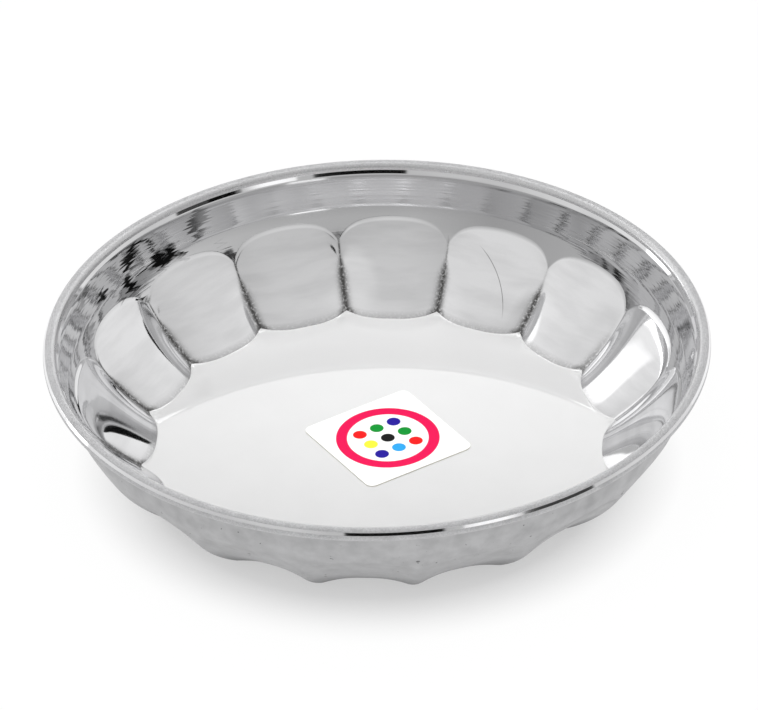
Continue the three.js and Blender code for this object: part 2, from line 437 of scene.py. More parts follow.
def satin_steel():
    material, tree = new_material("satin_buffed_stainless_steel")
    place = add_node(tree, "ShaderNodeTexCoord", out="Object")
    x, y, z = add_node(tree, "ShaderNodeSeparateXYZ", {"Vector": place}).node.outputs
    flat = add_node(tree, "ShaderNodeCombineXYZ", {"X": x, "Y": y})
    reach = add_node(tree, "ShaderNodeVectorMath", {0: flat}, out="Value", operation="LENGTH")
    on_rim = add_node(tree, "ShaderNodeMapRange", {
        "Value": z, "From Min": RIM_FROM * MM, "From Max": RIM_FULL * MM,
    })
    off_crown = add_node(tree, "ShaderNodeMapRange", {
        "Value": reach, "From Min": CROWN_IN * MM, "From Max": CROWN_OUT * MM,
    })

    across = add_node(tree, "ShaderNodeMath", {0: reach, 1: z}, operation="ADD")
    grain = add_node(tree, "ShaderNodeTexNoise", {
        "W": across, "Scale": 1 / (BUFF_SPACING * MM), "Detail": 3.0,
    }, noise_dimensions="1D")
    pits = add_node(tree, "ShaderNodeTexNoise", {
        "Vector": place, "Scale": 1 / (PIT_SIZE * MM), "Detail": 2.0,
    })
    off_rim = add_node(tree, "ShaderNodeMath", {0: 1.0, 1: on_rim}, operation="SUBTRACT")
    lines = add_node(tree, "ShaderNodeMath", {0: grain, 1: off_rim}, operation="MULTIPLY")
    height = add_node(tree, "ShaderNodeMath", {0: lines, 1: pits}, operation="ADD")
    bump_strength = add_node(tree, "ShaderNodeMapRange", {
        "Value": off_crown, "To Min": CROWN_RELIEF, "To Max": 1.0,
    })
    relief = add_node(tree, "ShaderNodeBump", {
        "Height": height, "Strength": bump_strength, "Distance": PIT_DEPTH * MM,
    })

    rim_rough = add_node(tree, "ShaderNodeMapRange", {
        "Value": off_crown, "To Min": CROWN_ROUGHNESS, "To Max": RIM_ROUGHNESS,
    })
    plain = add_node(tree, "ShaderNodeMix", {0: on_rim, 2: OUTSIDE_ROUGHNESS, 3: rim_rough})
    cloud = add_node(tree, "ShaderNodeTexNoise", {
        "Vector": place, "Scale": 1 / (CLOUD_SIZE * MM), "Detail": 4.0,
    })
    uneven = add_node(tree, "ShaderNodeMapRange", {
        "Value": cloud, "From Min": NOISE_LOW, "From Max": NOISE_HIGH,
        "To Min": -ROUGHNESS_SPREAD, "To Max": ROUGHNESS_SPREAD,
    })
    rough = add_node(tree, "ShaderNodeMath", {0: plain, 1: uneven}, operation="ADD")

    pitted = add_node(tree, "ShaderNodeMapRange", {
        "Value": pits, "From Min": PIT_FROM, "From Max": PIT_FULL,
    })
    rim = add_node(tree, "ShaderNodeMix", {
        0: pitted, MIX_A: linear(STEEL_RIM), MIX_B: linear(STEEL_RIM_PIT),
    }, out=MIX_RESULT, data_type="RGBA")
    colour = add_node(tree, "ShaderNodeMix", {
        0: on_rim, MIX_A: outside_colour(tree, place, z, cloud), MIX_B: rim,
    }, out=MIX_RESULT, data_type="RGBA")
    steel = add_node(tree, "ShaderNodeBsdfPrincipled", {
        "Base Color": colour, "Metallic": 1.0, "Roughness": rough, "Normal": relief,
    })
    add_node(tree, "ShaderNodeOutputMaterial", {"Surface": steel})
    return material


satin = satin_steel()
print("Made", satin.name)

# %% [markdown]
# ## Bright-rolled steel
#
# The press hardly touches the base, so it keeps the finish of the sheet as it left the rolling mill. Rolled
# steel is bright but hazy: most of the light is spread out, and only a little of it makes a sharp image. A
# rough metal under a thin clear coat gives both. Its colour is darker towards the front: painted shade, where
# the front wall keeps light off the base. The bends at the foot of the wall keep this finish, because the
# polishing wheel doesn't reach into them.

# %% Make the rolled finish
STEEL_ROLLED = "#F4F4F4"
# Painted shade: the base darkens towards the front.
STEEL_ROLLED_SHADED = "#D0D0D0"
ROLLED_SHADE_FROM, ROLLED_SHADE_FULL = 43.0, -55.0
ROLLED_METALLIC = 0.6
ROLLED_ROUGHNESS = 0.85
ROLLED_SPREAD = 0.03
COAT_ROUGHNESS = 0.03
COAT_IOR = 2.0
HAZE_SIZE = 12.0


def bright_rolled_steel():
    material, tree = new_material("bright_rolled_stainless_steel")
    place = add_node(tree, "ShaderNodeTexCoord", out="Object")
    y = add_node(tree, "ShaderNodeSeparateXYZ", {"Vector": place}, out="Y")
    front_shade = add_node(tree, "ShaderNodeMapRange", {
        "Value": y, "From Min": ROLLED_SHADE_FROM * MM, "From Max": ROLLED_SHADE_FULL * MM,
    })
    colour = add_node(tree, "ShaderNodeMix", {
        0: front_shade, MIX_A: linear(STEEL_ROLLED), MIX_B: linear(STEEL_ROLLED_SHADED),
    }, out=MIX_RESULT, data_type="RGBA")
    haze = add_node(tree, "ShaderNodeTexNoise", {
        "Vector": place, "Scale": 1 / (HAZE_SIZE * MM), "Detail": 3.0,
    })
    rough = add_node(tree, "ShaderNodeMapRange", {
        "Value": haze, "From Min": NOISE_LOW, "From Max": NOISE_HIGH,
        "To Min": ROLLED_ROUGHNESS - ROLLED_SPREAD, "To Max": ROLLED_ROUGHNESS + ROLLED_SPREAD,
    })
    steel = add_node(tree, "ShaderNodeBsdfPrincipled", {
        "Base Color": colour, "Metallic": ROLLED_METALLIC, "Roughness": rough,
        "Coat Weight": 1.0, "Coat Roughness": COAT_ROUGHNESS, "Coat IOR": COAT_IOR,
    })
    add_node(tree, "ShaderNodeOutputMaterial", {"Surface": steel})
    return material


rolled = bright_rolled_steel()
print("Made", rolled.name)

# %% [markdown]
# ## The shape of one flute
#
# Each flute is a shallow panel pressed inwards, with an arched top. The wall without flutes is one arc from
# the base to the rim. A panel's middle is a straight line that stands in from that arc, and the panel falls
# back to the arc towards the grooves on both sides. At its arch it ends in a small step, which catches the
# light. The rim's radius and the height are measured on the frame, and the other main sizes are those of
# the CAD part. Here the wall swells a little less and the arches stand a little lower, and the hollow of
# the panels, the straight band, the chamfer below the rim and the small roundings are added.

# %% Write the flute as a rule
SHEET = 0.6
RIM_RADIUS = round(cad_box[1][0] / MM, 3)
HEIGHT = round(cad_box[1][2] / MM, 3)
BASE_RADIUS = 57.8
WALL_BULGE = 3.6
FLUTES = 16
FLUTE_FOOT_DEPTH = 3.9
BAND_HEIGHT = 13.4
ARCH_RISE = 2.0
CURL_BORE = 1.0
CURL_GAP = 0.4

ARCH_STEP = 0.5  # how far a panel's top stands in from the wall
ARCH_EDGE = 0.45  # half the height over which that step falls back
ARCH_CORNER = 3.1  # how much further an arch drops at the grooves
ARCH_CORNER_POWER = 6
PANEL_HOLLOW = 1.5  # how far a panel's middle lies behind a straight line
PANEL_POWER = 2.5  # how flat a panel is across
GROOVE_ROUND = 0.04  # the share of a half flute that the groove's rounding takes
FOOT_ROUND = 0.12  # the same at the foot
ROUND_HEIGHTS = (2.0, 12.0)  # between them the second becomes the first
FOOT_BEND = 0.12  # how high the wall's turn out of the base is
FOOT_REACH = 0.15  # how far it reaches in over the base
WEB_BEND = 0.5  # the same two in a groove
WEB_REACH = 2.2
WEB_POWER = 8
CHAMFER_HEIGHT = 0.85
CHAMFER_LEAN = math.radians(30)
BAND_LINE = 21.3  # the height where the arc turns into the straight band
BAND_BLEND = 1.3  # half the height that the turn takes

half_flute = math.pi / FLUTES
curl_radius = CURL_BORE + SHEET
curl_r = RIM_RADIUS - curl_radius
curl_z = HEIGHT - curl_radius
arch_top = HEIGHT - BAND_HEIGHT
chamfer_z = curl_z - CHAMFER_HEIGHT
chamfer_r = curl_r - curl_radius - CHAMFER_HEIGHT * math.tan(CHAMFER_LEAN)


def smooth(low, high, value):
    """0 below low, 1 above high, and a smooth rise between them."""
    share = min(1.0, max(0.0, (value - low) / (high - low)))
    return share * share * (3 - 2 * share)


def wall_arc(z):
    """The radius of an arc from the foot of a groove to the inside of the curl."""
    foot_r, foot_z, top_r = BASE_RADIUS, SHEET, curl_r - curl_radius
    chord = math.hypot(top_r - foot_r, curl_z - foot_z)
    out_r, out_z = (curl_z - foot_z) / chord, (foot_r - top_r) / chord
    arc = chord ** 2 / (8 * WALL_BULGE) + WALL_BULGE / 2
    centre_r = (foot_r + top_r) / 2 - (arc - WALL_BULGE) * out_r
    centre_z = (foot_z + curl_z) / 2 - (arc - WALL_BULGE) * out_z
    return centre_r + math.sqrt(arc ** 2 - (z - centre_z) ** 2)


def wall_radius(z):
    """The inside radius of the wall without flutes: the arc, then a straight band to the chamfer."""
    foot_r = wall_arc(BAND_LINE)
    band = foot_r + (chamfer_r - foot_r) * (z - BAND_LINE) / (chamfer_z - BAND_LINE)
    share = smooth(BAND_LINE - BAND_BLEND, BAND_LINE + BAND_BLEND, z)
    return wall_arc(z) * (1 - share) + band * share


def panel_depth(z):
    """How far a panel's middle stands in from the wall. The middle is a slightly hollow line."""
    foot = BASE_RADIUS - FLUTE_FOOT_DEPTH
    top = wall_radius(arch_top) - ARCH_STEP
    share = (z - SHEET) / (arch_top - SHEET)
    return wall_radius(z) - foot - (top - foot) * share - 4 * PANEL_HOLLOW * share * (1 - share)


def across_panel(u, z):
    """1 in a panel's middle, less towards the groove, which is rounder at its foot. u runs from -1 to 1."""
    side = 1 - abs(u)
    rounding = FOOT_ROUND + (GROOVE_ROUND - FOOT_ROUND) * smooth(*ROUND_HEIGHTS, z)
    if side >= rounding:
        return 1 - abs(u) ** PANEL_POWER
    edge = 1 - rounding
    slope = PANEL_POWER * edge ** (PANEL_POWER - 1)
    return 1 - edge ** PANEL_POWER - slope / 2 * (rounding - side ** 2 / rounding)


def foot_bend(u):
    """How far the wall's turn out of the base reaches in and up. It widens to a small web at each groove."""
    share = abs(u) ** WEB_POWER
    return FOOT_REACH + (WEB_REACH - FOOT_REACH) * share, FOOT_BEND + (WEB_BEND - FOOT_BEND) * share


def arch_height(u):
    """The height of a panel's arch, which bends down faster near the grooves."""
    return arch_top - ARCH_RISE * u ** 2 - ARCH_CORNER * u ** ARCH_CORNER_POWER


def inside_radius(u, z):
    """The radius of the sheet's upper face at a place across a flute and a height."""
    arch = arch_height(u)
    lifted = z + arch_top - arch
    pressed = panel_depth(lifted) * across_panel(u, z)
    return wall_radius(z) - pressed * (1 - smooth(arch - ARCH_EDGE, arch + ARCH_EDGE, z))


print("Panel middle at the foot:", round(inside_radius(0, SHEET), 2), "mm from the axis")
print("Groove at the foot:", round(inside_radius(1, SHEET), 2), "mm from the axis")

# %% [markdown]
# ## One section of the sheet
#
# A section through the sheet runs from the axis along the base, up the wall and over the curl to the rolled
# edge. Its points stand closer together at the arch and the curl, where the light changes fastest. The
# roller has pressed a narrow flat along the curl's outer shoulder, which is polished like the wall.

# %% Draw a section
BEND_STEPS = 6
PANEL_STEPS = 14
ARCH_STEPS = 14
SPANDREL_STEPS = 4
KINK_STEPS = 6
BAND_STEPS = 4
CURL_STEPS = 12
ARCH_MARGIN = 1.4 * ARCH_EDGE
FLAT_MARGIN = 0.5
CHAMFER_EDGES = (0.05, 0.1, 0.75, 0.8, 0.85)
SHOULDER_MIDDLE = math.radians(32)
SHOULDER_HALF = math.radians(14)
SHOULDER_EDGE = math.radians(1.5)
rolled_edge = -math.acos((SHEET + CURL_GAP) / curl_radius - 1)


def between(start, end, steps):
    return [start + (end - start) * i / steps for i in range(1, steps + 1)]


def bezier(start, control, end, steps):
    points = []
    for t in between(0, 1, steps):
        points.append(tuple((1 - t) ** 2 * a + 2 * t * (1 - t) * b + t * t * c
                            for a, b, c in zip(start, control, end)))
    return points


def on_curl(angle):
    """A point of the curl, which is flat along its outer shoulder."""
    aside = abs(angle - SHOULDER_MIDDLE)
    size = curl_radius
    if aside < SHOULDER_HALF:
        size = curl_radius * math.cos(SHOULDER_HALF) / math.cos(aside)
    return curl_r + size * math.cos(angle), curl_z + size * math.sin(angle)


def section(u):
    """The upper face at one place across a flute, as points (radius, height) with each one's finish."""
    foot = inside_radius(u, SHEET)
    reach, bend = foot_bend(u)
    bend_z = SHEET + bend
    bend_r = inside_radius(u, bend_z)
    flat = foot - reach
    base = [(flat / 2, SHEET), (flat - FLAT_MARGIN, SHEET), (flat, SHEET)]
    base += bezier((flat, SHEET), (foot, SHEET), (bend_r, bend_z), BEND_STEPS)

    arch_low = arch_height(u) - ARCH_MARGIN
    arch_high = arch_height(u) + ARCH_MARGIN
    heights = between(bend_z, arch_low, PANEL_STEPS)
    heights += between(arch_low, arch_high, ARCH_STEPS)
    heights += between(arch_high, BAND_LINE - BAND_BLEND, SPANDREL_STEPS)
    heights += between(BAND_LINE - BAND_BLEND, BAND_LINE + BAND_BLEND, KINK_STEPS)
    heights += between(BAND_LINE + BAND_BLEND, chamfer_z, BAND_STEPS)
    wall = [(inside_radius(u, z), z) for z in heights]
    wall += [(chamfer_r + up * math.tan(CHAMFER_LEAN), chamfer_z + up) for up in CHAMFER_EDGES]

    shoulder_top = SHOULDER_MIDDLE + SHOULDER_HALF
    shoulder_foot = SHOULDER_MIDDLE - SHOULDER_HALF
    crown = [on_curl(angle) for angle in between(math.pi, shoulder_top, CURL_STEPS)]
    flat_half = SHOULDER_HALF - SHOULDER_EDGE
    shoulder = [on_curl(SHOULDER_MIDDLE + angle) for angle in (flat_half, 0, -flat_half, -SHOULDER_HALF)]
    roll = [on_curl(angle) for angle in between(shoulder_foot, rolled_edge, CURL_STEPS)]
    stretches = (("base", base), ("wall", wall), ("satin", crown), ("wall", shoulder), ("satin", roll))
    return [(r, z, finish) for finish, points in stretches for r, z in points]


print("A section has", len(section(0)), "points")

# %% [markdown]
# ## One sector of the sheet
#
# Sections at a row of angles make the upper face of one sector, a sixteenth of the plate. They stand closer
# together beside the grooves. The lower face is the same grid moved by the sheet's thickness along the
# surface's own direction, so the sheet is equally thick everywhere. The mesh also carries marks for the
# finishes: each face says whether it is satin or belongs to the base, and each point how much polishing
# paste lies there and how dark the line along the foot is, and whether it is on the band.

# %% Build one sector
GROOVE_COLUMNS = 9
GROOVE_SHARE = 0.25
PANEL_COLUMNS = 14
FLAT_ROWS = 3
PASTE_THIN = 0.25
PASTE_WIDE = 1.15
PASTE_NARROWS = (7.0, 11.0)
PASTE_STARTS = (SHEET + 0.3, SHEET + 0.8)
PASTE_ENDS = (12.5, 15.5)
FOOT_LINE = 0.35
FOOT_CUSP = 0.65
FOOT_WIDTH = 0.14
CUSP_SIDE = (0.75, 0.9)


def column_places():
    """Places across a flute from -1 to 1, closer together in the groove's rounding."""
    edge = 1 - GROOVE_SHARE
    places = [-1.0] + between(-1, -edge, GROOVE_COLUMNS)
    places += between(-edge, edge, PANEL_COLUMNS)
    return places + between(edge, 1, GROOVE_COLUMNS)


def paste_at(u, point):
    """How dark a point is made: polishing paste as a wide line low in a groove and a thin one above it, and a
    dark line along the foot, darkest at the cusps.
    """
    aside = (1 - abs(u)) * half_flute * math.hypot(point.x, point.y)
    width = PASTE_WIDE + (PASTE_THIN - PASTE_WIDE) * smooth(*PASTE_NARROWS, point.z)
    strength = smooth(*PASTE_STARTS, point.z) * (1 - smooth(*PASTE_ENDS, point.z))
    groove = math.exp(-(aside / width) ** 2) * strength
    above_bend = point.z - SHEET - foot_bend(u)[1]
    cusp = FOOT_LINE + FOOT_CUSP * smooth(*CUSP_SIDE, abs(u))
    foot = math.exp(-(above_bend / FOOT_WIDTH) ** 2) * cusp
    return max(groove, foot)


def sector_grid(places):
    """The points of the upper face in columns, with one more column past each end to find normals with."""
    step = places[1] - places[0]
    grid = []
    for u in [places[0] - step] + places + [places[-1] + step]:
        angle = math.pi / 2 + u * half_flute
        wrapped = (u + 1) % 2 - 1 if abs(u) > 1 else u
        grid.append([Vector((r * math.cos(angle), r * math.sin(angle), z)) for r, z, _ in section(wrapped)])
    return grid


def sector_faces(columns, finishes):
    """The faces of both sides and of the rolled edge, as pairs of corners and a finish."""
    rows = len(finishes)
    last = rows - 1
    under = columns * rows
    centre_up, centre_down = 2 * under, 2 * under + 1
    faces = []
    for c in range(columns - 1):
        here, there = c * rows, (c + 1) * rows
        faces.append(((centre_up, here, there), "base"))
        faces.append(((centre_down, under + there, under + here), "satin"))
        for row in range(last):
            faces.append(((here + row, here + row + 1, there + row + 1, there + row), finishes[row + 1]))
            faces.append(((under + here + row, under + there + row,
                           under + there + row + 1, under + here + row + 1), "satin"))
        faces.append(((here + last, under + here + last, under + there + last, there + last), "satin"))
    return faces


def sector_mesh():
    places = column_places()
    grid = sector_grid(places)
    finishes = [finish for _, _, finish in section(0)]
    last = len(finishes) - 1
    upper, lower, paste, band = [], [], [], []
    for c, u in enumerate(places, start=1):
        for row, point in enumerate(grid[c]):
            along = grid[c][min(row + 1, last)] - grid[c][max(row - 1, 0)]
            around = grid[c + 1][row] - grid[c - 1][row]
            normal = along.cross(around).normalized() if row >= FLAT_ROWS else Vector((0, 0, 1))
            upper.append(point)
            lower.append(point - SHEET * normal)
            paste.append(paste_at(u, point))
            band.append(smooth(arch_height(u) - ARCH_EDGE, arch_height(u) + ARCH_EDGE, point.z))

    corners = [point * MM for point in upper + lower]
    corners += [Vector((0, 0, SHEET)) * MM, Vector((0, 0, 0))]
    faces, face_finish = zip(*sector_faces(len(places), finishes))
    mesh = bpy.data.meshes.new("plate_sector")
    mesh.from_pydata(corners, [], faces)
    mesh.shade_smooth()
    unmarked = [0.0] * (len(corners) - len(upper))
    for name, values in (("paste", paste), ("band", band)):
        mesh.attributes.new(name, "FLOAT", "POINT").data.foreach_set("value", values + unmarked)
    for finish in ("satin", "base"):
        chosen = [name == finish for name in face_finish]
        mesh.attributes.new(finish, "BOOLEAN", "FACE").data.foreach_set("value", chosen)
    return mesh


sector = bpy.data.objects.new("plate_sector", sector_mesh())
bpy.context.scene.collection.objects.link(sector)
print("One sector has", len(sector.data.polygons), "faces")

# %% [markdown]
# ## Sixteen sectors round the axis
#
# The press tool repeats the same flute sixteen times, so Geometry Nodes do the same with the sector. The
# tree puts sixteen points on the axis, sets a copy of the sector on each, turned a step further every time,
# makes the copies real, and welds their seams. It ends by giving the finishes: polished steel everywhere,
# then satin and rolled steel on the faces that are marked for them.

# %% Repeat the sector with Geometry Nodes
SEAM = 0.004


def repeat_tree():
    tree = bpy.data.node_groups.new("sectors_round_axis", "GeometryNodeTree")
    for name, kind in (("Sector", "NodeSocketGeometry"), ("Flutes", "NodeSocketInt"),
                       ("Seam distance", "NodeSocketFloat"), ("Wall finish", "NodeSocketMaterial"),
                       ("Satin finish", "NodeSocketMaterial"), ("Base finish", "NodeSocketMaterial")):
        tree.interface.new_socket(name, in_out="INPUT", socket_type=kind)
    tree.interface.new_socket("Plate", in_out="OUTPUT", socket_type="NodeSocketGeometry")
    given = tree.nodes.new("NodeGroupInput").outputs
    points = add_node(tree, "GeometryNodePoints", {"Count": given["Flutes"]})
    index = add_node(tree, "GeometryNodeInputIndex")
    step = add_node(tree, "ShaderNodeMath", {0: math.tau, 1: given["Flutes"]}, operation="DIVIDE")
    angle = add_node(tree, "ShaderNodeMath", {0: index, 1: step}, operation="MULTIPLY")
    turn = add_node(tree, "FunctionNodeAxisAngleToRotation", {"Axis": (0, 0, 1), "Angle": angle})
    copies = add_node(tree, "GeometryNodeInstanceOnPoints", {
        "Points": points, "Instance": given["Sector"], "Rotation": turn,
    })
    real = add_node(tree, "GeometryNodeRealizeInstances", {"Geometry": copies})
    welded = add_node(tree, "GeometryNodeMergeByDistance", {
        "Geometry": real, "Distance": given["Seam distance"],
    })
    dressed = add_node(tree, "GeometryNodeSetMaterial", {
        "Geometry": welded, "Material": given["Wall finish"],
    })
    for mark, finish in (("satin", "Satin finish"), ("base", "Base finish")):
        chosen = add_node(tree, "GeometryNodeInputNamedAttribute", {"Name": mark}, data_type="BOOLEAN")
        dressed = add_node(tree, "GeometryNodeSetMaterial", {
            "Geometry": dressed, "Selection": chosen, "Material": given[finish],
        })
    add_node(tree, "NodeGroupOutput", {"Plate": dressed})
    return tree


def run_tree(source, tree, values, name):
    """The tree's result on an object as a plain mesh in a new object. The source is removed."""
    modifier = source.modifiers.new(tree.name, "NODES")
    modifier.node_group = tree
    for item in tree.interface.items_tree:
        if item.name in values:
            modifier[item.identifier] = values[item.name]
    evaluated = source.evaluated_get(bpy.context.evaluated_depsgraph_get())
    mesh = bpy.data.meshes.new_from_object(evaluated)
    bpy.data.objects.remove(source)
    mesh.name = name
    result = bpy.data.objects.new(name, mesh)
    bpy.context.scene.collection.objects.link(result)
    return result


shell = run_tree(sector, repeat_tree(), {
    "Flutes": FLUTES, "Seam distance": SEAM * MM,
    "Wall finish": polished, "Satin finish": satin, "Base finish": rolled,
}, "plate_shell_steel")
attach(shell, "root")
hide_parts("plate_shell")
print("The plate has", len(shell.data.vertices), "points and", len(shell.data.polygons), "faces")

# %% [markdown]
# ## The label
#
# The label is coated paper with a gloss print, on a thin film of adhesive. Its place and size are those of
# the CAD part. The paper's edge is rounded and its corners lift a little, as a label's do after handling.
# The print is a plain design: a pink ring round nine dots. Each mark is a circle, so the finish works out
# how far a point lies from the mark's centre, in millimetres.

# %% Print the label
LABEL_SIDE = 30.0
LABEL_CORNER = 2.0
LABEL_X = 2.0
LABEL_Y = 2.2
LABEL_TURN = math.radians(36.5)
LABEL_ADHESIVE = 0.1
LABEL_STOCK = 0.15
PAPER_WHITE = "#F8F8F6"
RING_PINK = "#DC1250"
RING_OUTER = 12.6
RING_INNER = 9.9
DOT_RADIUS = 1.7
DOT_PITCH = 4.9
DOT_COLOURS = (
    "#23168F", "#2E9BDC", "#F01A1A",
    "#F2E23C", "#141414", "#0E8A30",
    "#F01A1A", "#0E8A30", "#23168F",
)
INK_EDGE = 0.08
PAPER_ROUGHNESS = 0.45
PAPER_SHINE = 0.05
FIBRE_SIZE = 0.5
FIBRE_DEPTH = 0.02
FIBRE_STRENGTH = 0.3


def printed_label():
    material, tree = new_material("gloss_printed_label_paper")
    place = add_node(tree, "ShaderNodeTexCoord", out="Object")
    local = add_node(tree, "ShaderNodeMapping", {
        "Vector": place, "Location": (LABEL_X * MM, LABEL_Y * MM, 0), "Rotation": (0, 0, LABEL_TURN),
        "Scale": (MM, MM, MM),
    }, vector_type="TEXTURE")
    x, y, _ = add_node(tree, "ShaderNodeSeparateXYZ", {"Vector": local}).node.outputs
    flat = add_node(tree, "ShaderNodeCombineXYZ", {"X": x, "Y": y})
    marks = [(RING_OUTER, RING_PINK, (0, 0, 0)), (RING_INNER, PAPER_WHITE, (0, 0, 0))]
    for i, hex_colour in enumerate(DOT_COLOURS):
        column, row = i % 3 - 1, i // 3 - 1
        marks.append((DOT_RADIUS, hex_colour, (column * DOT_PITCH, row * DOT_PITCH, 0)))
    colour = linear(PAPER_WHITE)
    for radius, hex_colour, centre in marks:
        gap = add_node(tree, "ShaderNodeVectorMath", {0: flat, 1: centre}, out="Value", operation="DISTANCE")
        inside = add_node(tree, "ShaderNodeMapRange", {
            "Value": gap, "From Min": radius + INK_EDGE, "From Max": radius - INK_EDGE,
        })
        colour = add_node(tree, "ShaderNodeMix", {
            0: inside, MIX_A: colour, MIX_B: linear(hex_colour),
        }, out=MIX_RESULT, data_type="RGBA")
    fibre = add_node(tree, "ShaderNodeTexNoise", {"Vector": local, "Scale": 1 / FIBRE_SIZE, "Detail": 4.0})
    relief = add_node(tree, "ShaderNodeBump", {
        "Height": fibre, "Strength": FIBRE_STRENGTH, "Distance": FIBRE_DEPTH * MM,
    })
    paper = add_node(tree, "ShaderNodeBsdfPrincipled", {
        "Base Color": colour, "Roughness": PAPER_ROUGHNESS, "Specular IOR Level": PAPER_SHINE,
        "Normal": relief,
    })
    add_node(tree, "ShaderNodeOutputMaterial", {"Surface": paper})
    return material


label_print = printed_label()
print("Made", label_print.name)

# %% Cut the label
EDGE_ROUND = 0.05
CORNER_LIFT = 0.03
LIFT_FROM, LIFT_FULL = 13.0, 20.0
RING_SHARES = (0.97, 0.9, 0.75, 0.5, 0.25)
ARC_STEPS = 8


def label_outline(inset):
    """A square with rounded corners, as points round its centre."""
    half = LABEL_SIDE / 2 - LABEL_CORNER
    points = []
    for corner in range(4):
        start = corner * math.pi / 2
        centre = Matrix.Rotation(start, 2) @ Vector((half, half))
        for i in range(ARC_STEPS + 1):
            angle = start + math.pi / 2 * i / ARC_STEPS
            points.append(centre + (LABEL_CORNER - inset) * Vector((math.cos(angle), math.sin(angle))))
    return points


def label_mesh():
    bottom = SHEET + LABEL_ADHESIVE
    top = bottom + LABEL_STOCK
    loops = [[(p, bottom) for p in label_outline(EDGE_ROUND)]]
    loops.append([(p, bottom + EDGE_ROUND) for p in label_outline(0)])
    loops.append([(p, top - EDGE_ROUND) for p in label_outline(0)])
    loops.append([(p, top) for p in label_outline(EDGE_ROUND)])
    for share in RING_SHARES:
        loops.append([(p * share, top) for p in label_outline(EDGE_ROUND)])
    place = Matrix.Translation(Vector((LABEL_X, LABEL_Y, 0))) @ Matrix.Rotation(LABEL_TURN, 4, "Z")
    corners, faces = [], []
    count = len(loops[0])
    for loop in loops:
        for flat, z in loop:
            lift = CORNER_LIFT * smooth(LIFT_FROM, LIFT_FULL, flat.length)
            corners.append(place @ Vector((flat.x, flat.y, z + lift)) * MM)
    for i in range(len(loops) - 1):
        for j in range(count):
            k = (j + 1) % count
            faces.append((i * count + j, i * count + k, (i + 1) * count + k, (i + 1) * count + j))
    faces.append(tuple(range(count - 1, -1, -1)))
    last = (len(loops) - 1) * count
    faces.append(tuple(last + j for j in range(count)))
    mesh = bpy.data.meshes.new("label_stock_paper")
    mesh.from_pydata(corners, [], faces)
    mesh.shade_smooth()
    mesh.materials.append(label_print)
    return mesh


label = bpy.data.objects.new("label_stock_paper", label_mesh())
bpy.context.scene.collection.objects.link(label)
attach(label, "root")
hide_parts("label_stock")
print("The label has", len(label.data.polygons), "faces")

# %% [markdown]
# ## The adhesive film
#
# Only the film's edge shows, as a thin pale line under the paper. The CAD node has the right shape, so it
# stays and gets an acrylic finish: slightly yellow, a little uneven, and dull.

# %% Finish the adhesive
ADHESIVE_PALE = "#F0EDE2"
ADHESIVE_AGED = "#E2DCC8"
ADHESIVE_PATCH = 3.0
ADHESIVE_ROUGHNESS = 0.6


def acrylic_adhesive():
    material, tree = new_material("acrylic_adhesive_film")
    place = add_node(tree, "ShaderNodeTexCoord", out="Object")
    patches = add_node(tree, "ShaderNodeTexNoise", {
        "Vector": place, "Scale": 1 / (ADHESIVE_PATCH * MM),
    })
    colour = add_node(tree, "ShaderNodeMix", {
        0: patches, MIX_A: linear(ADHESIVE_PALE), MIX_B: linear(ADHESIVE_AGED),
    }, out=MIX_RESULT, data_type="RGBA")
    film = add_node(tree, "ShaderNodeBsdfPrincipled", {
        "Base Color": colour, "Roughness": ADHESIVE_ROUGHNESS,
    })
    add_node(tree, "ShaderNodeOutputMaterial", {"Surface": film})
    return material


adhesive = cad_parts["label_adhesive"]
adhesive.data.materials.clear()
adhesive.data.materials.append(acrylic_adhesive())
print("The adhesive keeps its CAD shape, with", len(adhesive.data.polygons), "faces")

# %% [markdown]
# ## The floor and the studio
#
# A mirror shows its surroundings, so the studio is half of this finish. The plate stands on a white table.
# The table glows for the camera and in the steel, so that it is plain white there. Round the plate, centred a
# little in front of it, the glow is weaker: a painted shadow, in which the table's own shadow also shows.
# Small black boards hang round the plate, where only the steel shows them. The room is pale, brightest behind
# the plate, with patches of light and dark round it: a softbox and a white card behind, windows on the left,
# a low lamp in front and dark furniture on the right. In the steel they draw the black lines along the rim,
# the arc on the base and the bright panel on the right. One soft lamp overhead gives the shadow.

# %% Set the floor
FLOOR_SIZE = 4000
FLOOR_DROP = 0.05
FLOOR_GLOW = 0.97
# The glow fades towards this centre: a painted shadow round the plate.
PAINTED_SHADOW_CENTRE = Vector((0, -6, 0))
GLOW_FROM, GLOW_FULL = 56.0, 74.0
GLOW_IN_PAINTED_SHADOW = 0.45
FLOOR_WHITE = "#F6F6F6"


